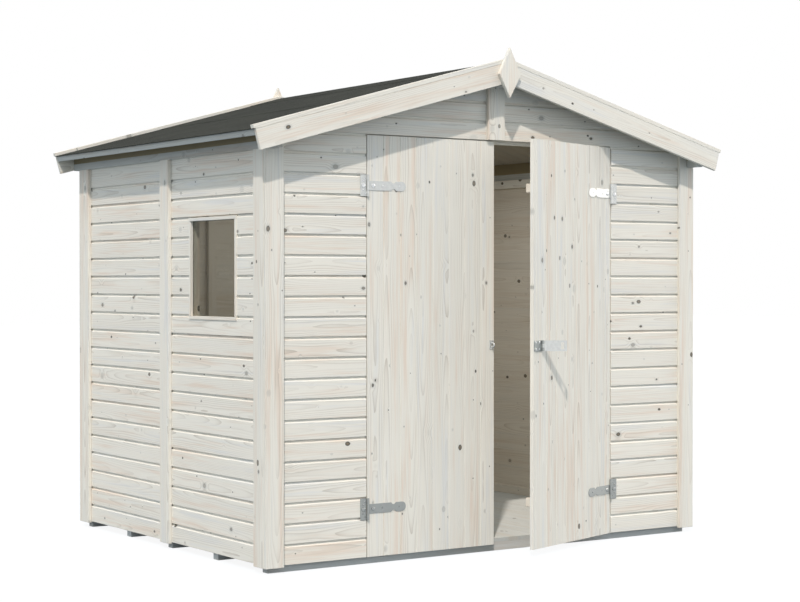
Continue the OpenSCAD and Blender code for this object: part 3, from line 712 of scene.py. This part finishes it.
def felt_sheet(side, name, node, seed):
    """Felt on one slope, in three lengths: a strip at the eaves, one lapped over it and a cap at the ridge."""
    low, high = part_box(node)
    slope = math.tan(ROOF_PITCH)
    bottom = high.z - FELT / math.cos(ROOF_PITCH)
    eaves_x = high.x - low.x + 2.5 * MM
    laps = ((0, 4 * MM), (0.19, 4 * MM), (0.194, 2 * MM), (0.72, 2 * MM), (0.724, 0), (eaves_x, 0))
    draw = random.Random(seed)
    steps = 40
    bm = bmesh.new()
    rows = []
    for i in range(steps + 1):
        y = low.y + (high.y - low.y) * i / steps
        wave = 0 if i in (0, steps) else 0.4 * MM
        upper = [(x, high.z - x * slope + proud - wave * draw.random()) for x, proud in laps]
        lower = [(x, bottom - x * slope) for x in (eaves_x, 0)]
        rows.append([bm.verts.new((side * x, y, z)) for x, z in upper + lower])
    for a, b in zip(rows, rows[1:]):
        for i in range(len(a)):
            j = (i + 1) % len(a)
            bm.faces.new((a[i], a[j], b[j], b[i]))
    bm.faces.new(rows[0])
    bm.faces.new(reversed(rows[-1]))
    bmesh.ops.recalc_face_normals(bm, faces=bm.faces)
    mesh = bpy.data.meshes.new(name)
    bm.to_mesh(mesh)
    bm.free()
    mesh.materials.append(felt)
    finish(mesh, name, "shed", [node])


felt_sheet(-1, "left_felt", "roof_felt_left", 54)
felt_sheet(1, "right_felt", "roof_felt_right", 55)


# ------------------------------------------------------------------ window

def timber(low, high, arris, seed):
    """One planed stick of wood that fills a box."""
    bm = bmesh.new()
    bmesh.ops.create_cube(bm, size=1)
    for vertex in bm.verts:
        vertex.co = [(a + b) / 2 + c * (b - a) for a, b, c in zip(low, high, vertex.co)]
    grown(bm, seed)
    bmesh.ops.bevel(bm, geom=bm.edges[:], offset=arris, segments=2, affect="EDGES")
    mesh = bpy.data.meshes.new("timber")
    bm.to_mesh(mesh)
    bm.free()
    mesh.materials.append(washed)
    return mesh


def window_lining():
    low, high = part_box("window_frame")
    clear_low, clear_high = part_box("window_pane")
    y0, y1, z0, z1 = clear_low.y, clear_high.y, clear_low.z, clear_high.z
    sticks = [timber((low.x, low.y, low.z), (high.x, high.y, z0), 1 * MM, 61),
              timber((low.x, low.y, z1), (high.x, high.y, high.z), 1 * MM, 62),
              timber((low.x, low.y, z0), (high.x, y0, z1), 1 * MM, 63),
              timber((low.x, y1, z0), (high.x, high.y, z1), 1 * MM, 64)]
    finish(joined(sticks, "window_lining"), "window_lining", "shed", ["window_frame"])


window_lining()
nodes["window_pane"].data.materials.clear()
nodes["window_pane"].data.materials.append(pane)


# ------------------------------------------------------------------ doors

left_joint, right_joint, hasp_joint = (joints[n] for n in ("door_left_hinge", "door_right_hinge", "hasp_hinge"))


def leaf_frame(joint, ajar=0.0):
    """From a leaf's own frame (pin at the origin, leaf along X, face to -Y, heights as they are) to its
    place. The right leaf is the left one in a mirror, turned open by ajar."""
    pin = Vector(joint["pos_m"])
    place = Matrix.Translation((pin.x, pin.y, 0)) @ Matrix.Rotation(ajar, 4, "Z")
    return place @ Matrix.Diagonal((math.copysign(1, -pin.x), 1, 1, 1))


ajar = -math.radians(right_joint["range_deg"][0])
left_leaf, right_leaf = leaf_frame(left_joint), leaf_frame(right_joint, ajar)
left_jamb, right_jamb = leaf_frame(left_joint), leaf_frame(right_joint)
pin = Vector(left_joint["pos_m"])
leaf_low, leaf_high = (corner - Vector((pin.x, pin.y, 0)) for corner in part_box("door_left_leaf"))


def leaf_boards(name, body, place, first, seed, node):
    """Upright boards with V joints. first is the width of the board at the hinge."""
    count = math.ceil((leaf_high.x - first) / DOOR_COVER) + 1
    thick = leaf_high.y - leaf_low.y
    row = board_row(name, v_board(DOOR_COVER, thick, DOOR_V), leaf_high.z - leaf_low.z, count, DOOR_COVER, seed)
    upright = Matrix.Translation((first - DOOR_COVER, leaf_low.y, leaf_high.z)) @ Matrix.Rotation(math.pi / 2, 4, "Y")
    row = kept(placed(row, upright), (0, -FAR, -FAR), (leaf_high.x, FAR, FAR))
    finish(placed(row, place), name, body, [node])


leaf_boards("left_door_boards", "door_left", left_leaf, LEFT_LEAF_FIRST, 71, "door_left_leaf")
leaf_boards("right_door_boards", "door_right", right_leaf, RIGHT_LEAF_FIRST, 72, "door_right_leaf")
softened("left_door_ledges", "door_left", bare, ["door_left_ledges"], 2 * MM, 73)
softened("right_door_ledges", "door_right", bare, ["door_right_ledges"], 2 * MM, 74)

# ------------------------------------------------------------------ bolts, screws and nails


def lathe(name, outline, steps=24):
    """A closed solid turned round Z from (radius, height) points, from the top down."""
    bm = bmesh.new()
    top = bm.verts.new((0, 0, outline[0][1]))
    rings = [[bm.verts.new((r * math.cos(a), r * math.sin(a), h))
              for a in (2 * math.pi * i / steps for i in range(steps))] for r, h in outline[1:]]
    for i in range(steps):
        j = (i + 1) % steps
        bm.faces.new((top, rings[0][i], rings[0][j]))
        for upper, lower in zip(rings, rings[1:]):
            bm.faces.new((upper[i], lower[i], lower[j], upper[j]))
    bm.faces.new(reversed(rings[-1]))
    mesh = bpy.data.meshes.new(name)
    bm.to_mesh(mesh)
    bm.free()
    return mesh


def dome(name, size, steps=24):
    """A low domed head."""
    width, height = size
    skirt = 0.25 * height
    outline = [(0, height)] + [(width / 2 * math.sin(a), skirt + (height - skirt) * math.cos(a))
                               for a in (math.radians(d) for d in (22, 45, 68, 90))]
    return lathe(name, outline + [(width / 2, 0)], steps)


def cross_head(name, size):
    """A pan head with a cross pressed into it."""
    mesh = dome(name, size, 24)
    for vertex in mesh.vertices:
        radius = math.hypot(vertex.co.x, vertex.co.y)
        spoke = abs(math.sin(2 * math.atan2(vertex.co.y, vertex.co.x))) < 0.3
        if radius < 0.36 * size[0] and spoke:
            vertex.co.z -= 0.55 * size[1]
    return mesh


def nut(name, flats, height, bolt):
    """A hexagon nut on a washer, with the end of the bolt."""
    bm = bmesh.new()
    for r, low, high, steps in ((flats * 0.85, 0, 1.6 * MM, 24), (flats / 2 / math.cos(math.pi / 6), 1.6 * MM, height, 6),
                                (bolt / 2, height, height + 2.5 * MM, 16)):
        bmesh.ops.create_cone(bm, cap_ends=True, segments=steps, radius1=r, radius2=r, depth=high - low,
                              matrix=Matrix.Translation((0, 0, (low + high) / 2)))
    mesh = bpy.data.meshes.new(name)
    bm.to_mesh(mesh)
    bm.free()
    return mesh


def fixing_tree():
    """Sets copies of one head on the points of a mesh, each turned to its point's "facing"."""
    tree = bpy.data.node_groups.new("fixings", "GeometryNodeTree")
    for name, kind in (("Spots", "Object"), ("Head", "Object"), ("Finish", "Material")):
        tree.interface.new_socket(name, in_out="INPUT", socket_type="NodeSocket" + kind)
    tree.interface.new_socket("Geometry", in_out="OUTPUT", socket_type="NodeSocketGeometry")
    given = add(tree, "NodeGroupInput")
    spots = add(tree, "GeometryNodeObjectInfo", {"Object": out(given, "Spots")})
    head = add(tree, "GeometryNodeObjectInfo", {"Object": out(given, "Head")})
    facing = add(tree, "GeometryNodeInputNamedAttribute", {"Name": "facing"}, data_type="FLOAT_VECTOR")
    turn = add(tree, "FunctionNodeAlignRotationToVector", {"Vector": facing}, axis="Z")
    driven = add(tree, "GeometryNodeInstanceOnPoints", {"Points": out(spots, "Geometry"), "Rotation": turn,
                                                        "Instance": out(head, "Geometry")})
    real = add(tree, "GeometryNodeRealizeInstances", {"Geometry": driven})
    made = add(tree, "GeometryNodeSetMaterial", {"Geometry": real, "Material": out(given, "Finish")})
    add(tree, "NodeGroupOutput", {"Geometry": made})
    return tree


fixings = fixing_tree()


def fixed(name, head, spots):
    """Heads at spots, each a (place, facing) pair."""
    mesh = bpy.data.meshes.new(name + "_spots")
    mesh.from_pydata([place for place, _ in spots], [], [])
    store(mesh, "facing", [facing for _, facing in spots])
    held = [from_mesh(mesh), from_mesh(head.copy())]
    made = evaluated(fixings, name, spots=held[0], head=held[1], finish=bright_zinc)
    for thing in held:
        bpy.data.objects.remove(thing)
    return made


def spots_at(place, points, y, facing):
    """Points (x, z) at depth y of a leaf's frame, moved to their place."""
    turn = place.to_3x3()
    return [(place @ Vector((x, y, z)), turn @ Vector(facing)) for x, z in points]


bolt_head, screw_head = dome("bolt_head", BOLT_HEAD), cross_head("screw_head", SCREW_HEAD)
bolt_nut = nut("bolt_nut", 13 * MM, 8 * MM, 8 * MM)
steel = 2.5 * MM
strap_face = leaf_low.y - steel
strap_low, strap_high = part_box("door_left_hinge_straps")
hinge_levels = (strap_low.z + STRAP_H / 2, strap_high.z - STRAP_H / 2)
post_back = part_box("door_posts")[1].y - pin.y
OUT, IN = (0, -1, 0), (0, 1, 0)
PLATE_SCREWS = ((-24, 20), (-12, 32), (-25, -20), (-12, -34))
STRAP_SCREWS = (78 * MM, 166 * MM)


def jamb_fixings():
    """Bolt and screws of the four hinge plates, with the nuts behind the posts."""
    bolts, screws, nuts = [], [], []
    for jamb in (left_jamb, right_jamb):
        for z in hinge_levels:
            bolts += spots_at(jamb, [(-PLATE_IN, z)], strap_face, OUT)
            nuts += spots_at(jamb, [(-PLATE_IN, z)], post_back, IN)
            screws += spots_at(jamb, [(x * MM, z + up * MM) for x, up in PLATE_SCREWS], strap_face, OUT)
    mesh = joined([fixed("b", bolt_head, bolts), fixed("s", screw_head, screws), fixed("n", bolt_nut, nuts)],
                  "hinge_plate_fixings")
    finish(mesh, "hinge_plate_fixings", "shed")


def leaf_fixings(name, body, leaf, more_screws):
    """Bolt, nut and screws of the two straps of one leaf, and the screws of its hasp or staple."""
    bolts = [s for z in hinge_levels for s in spots_at(leaf, [(BOLT_OUT, z)], strap_face, OUT)]
    nuts = [s for z in hinge_levels for s in spots_at(leaf, [(BOLT_OUT, z)], leaf_high.y, IN)]
    points = [(x, z) for z in hinge_levels for x in STRAP_SCREWS] + more_screws
    screws = spots_at(leaf, points, strap_face, OUT)
    mesh = joined([fixed("b", bolt_head, bolts), fixed("s", screw_head, screws), fixed("n", bolt_nut, nuts)], name)
    finish(mesh, name, body)


hasp_pin = right_leaf.inverted() @ Vector(hasp_joint["pos_m"])
hasp_screws = [(hasp_pin.x + x * MM, hasp_pin.z + z * MM) for x in (20, 50) for z in (-15, 15)]
staple_low, staple_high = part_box("door_left_staple")
staple_x = (staple_low.x + staple_high.x) / 2 - pin.x
staple_z = (staple_low.z + staple_high.z) / 2
jamb_fixings()
leaf_fixings("left_door_fixings", "door_left", left_leaf, [(staple_x, staple_z + z * MM) for z in (-16, 16)])
leaf_fixings("right_door_fixings", "door_right", right_leaf, hasp_screws)


# The hasp plate takes the zinc with painted shade; the other ironwork, the plain zinc
for name in ("hinge_plates", "door_left_hinge_straps", "door_left_staple", "door_right_hinge_straps",
             "door_right_hasp_plate", "hasp_strap"):
    nodes[name].data.materials.clear()
    nodes[name].data.materials.append(painted_shade_zinc if name == "door_right_hasp_plate" else zinc)


# ------------------------------------------------------------------ floor, light and camera

def ground():
    """A grey studio floor that looks nearly white, and keeps a soft shadow."""
    bpy.ops.mesh.primitive_plane_add(size=80, location=(0, 0, 0))
    plane = bpy.context.object
    plane.name = "studio_floor"
    made, tree, surface = shader("studio_floor")
    surface.inputs["Base Color"].default_value = colour("#6A757D")
    surface.inputs["Roughness"].default_value = 0.9
    glow = add(tree, "ShaderNodeEmission", {"Color": colour("#FFFFFF"), "Strength": 1.52})
    share = add(tree, MATH, [looked_at(tree), 0.6], operation="MULTIPLY")
    both = add(tree, "ShaderNodeMixShader", [share, surface, glow])
    give(tree, tree.nodes["Material Output"].inputs["Surface"], both)
    plane.data.materials.append(made)


def looked_at(tree):
    """1 for what the camera sees, in metal and through glass too, and 0 for light that falls on the shed."""
    path = add(tree, "ShaderNodeLightPath")
    mirrored = add(tree, MATH, [out(path, "Is Glossy Ray"), out(path, "Is Transmission Ray")], operation="MAXIMUM")
    return add(tree, MATH, [out(path, "Is Camera Ray"), mirrored], operation="MAXIMUM")


def lamp(name, energy, tint, direction, angle):
    data = bpy.data.lights.new(name, "SUN")
    data.energy = energy
    data.color = tint
    data.angle = math.radians(angle)
    made = bpy.data.objects.new(name, data)
    made.rotation_euler = Vector(direction).to_track_quat("-Z", "Y").to_euler()
    bpy.context.scene.collection.objects.link(made)


def indoor_lamp():
    """A weak soft light under the ridge, which stands for what a small room gets through its openings."""
    data = bpy.data.lights.new("indoors", "AREA")
    data.shape = "RECTANGLE"
    data.size, data.size_y = 1.4, 1.0
    data.energy = 9.8
    made = bpy.data.objects.new("indoors", data)
    made.location = (0, 0, eaves_z + 0.1)
    bpy.context.scene.collection.objects.link(made)


def sky():
    """An even, slightly blue sky that looks white."""
    world = bpy.data.worlds.new("studio")
    bpy.context.scene.world = world
    world.use_nodes = True
    tree = world.node_tree
    tree.nodes.clear()
    fill = add(tree, "ShaderNodeBackground", {"Color": (0.84, 0.92, 1.0, 1), "Strength": 0.77})
    white = add(tree, "ShaderNodeBackground", {"Color": (1, 1, 1, 1), "Strength": 1.0})
    both = add(tree, "ShaderNodeMixShader", [looked_at(tree), fill, white])
    add(tree, "ShaderNodeOutputWorld", {"Surface": both})


def camera():
    data = bpy.data.cameras.new("camera")
    data.sensor_width = 36
    data.lens = 82.34
    data.clip_end = 200
    made = bpy.data.objects.new("camera", data)
    made.location = (-5.014, -7.635, 1.238)
    forward = Vector((0.5569, 0.8306, -math.tan(math.radians(0.629))))
    made.rotation_euler = forward.to_track_quat("-Z", "Y").to_euler()
    bpy.context.scene.collection.objects.link(made)
    bpy.context.scene.camera = made


ground()
sky()
lamp("sun", 2.8, (1.0, 0.905, 0.84), (0.41, 0.49, -0.77), 1.5)
lamp("right_fill", 1.0, (1.0, 0.91, 0.84), (-0.93, 0.30, -0.20), 40)
lamp("left_fill", 0.33, (1.0, 0.95, 0.9), (0.80, 0.20, -0.55), 60)
indoor_lamp()
camera()
bpy.context.scene.view_settings.view_transform = "Standard"
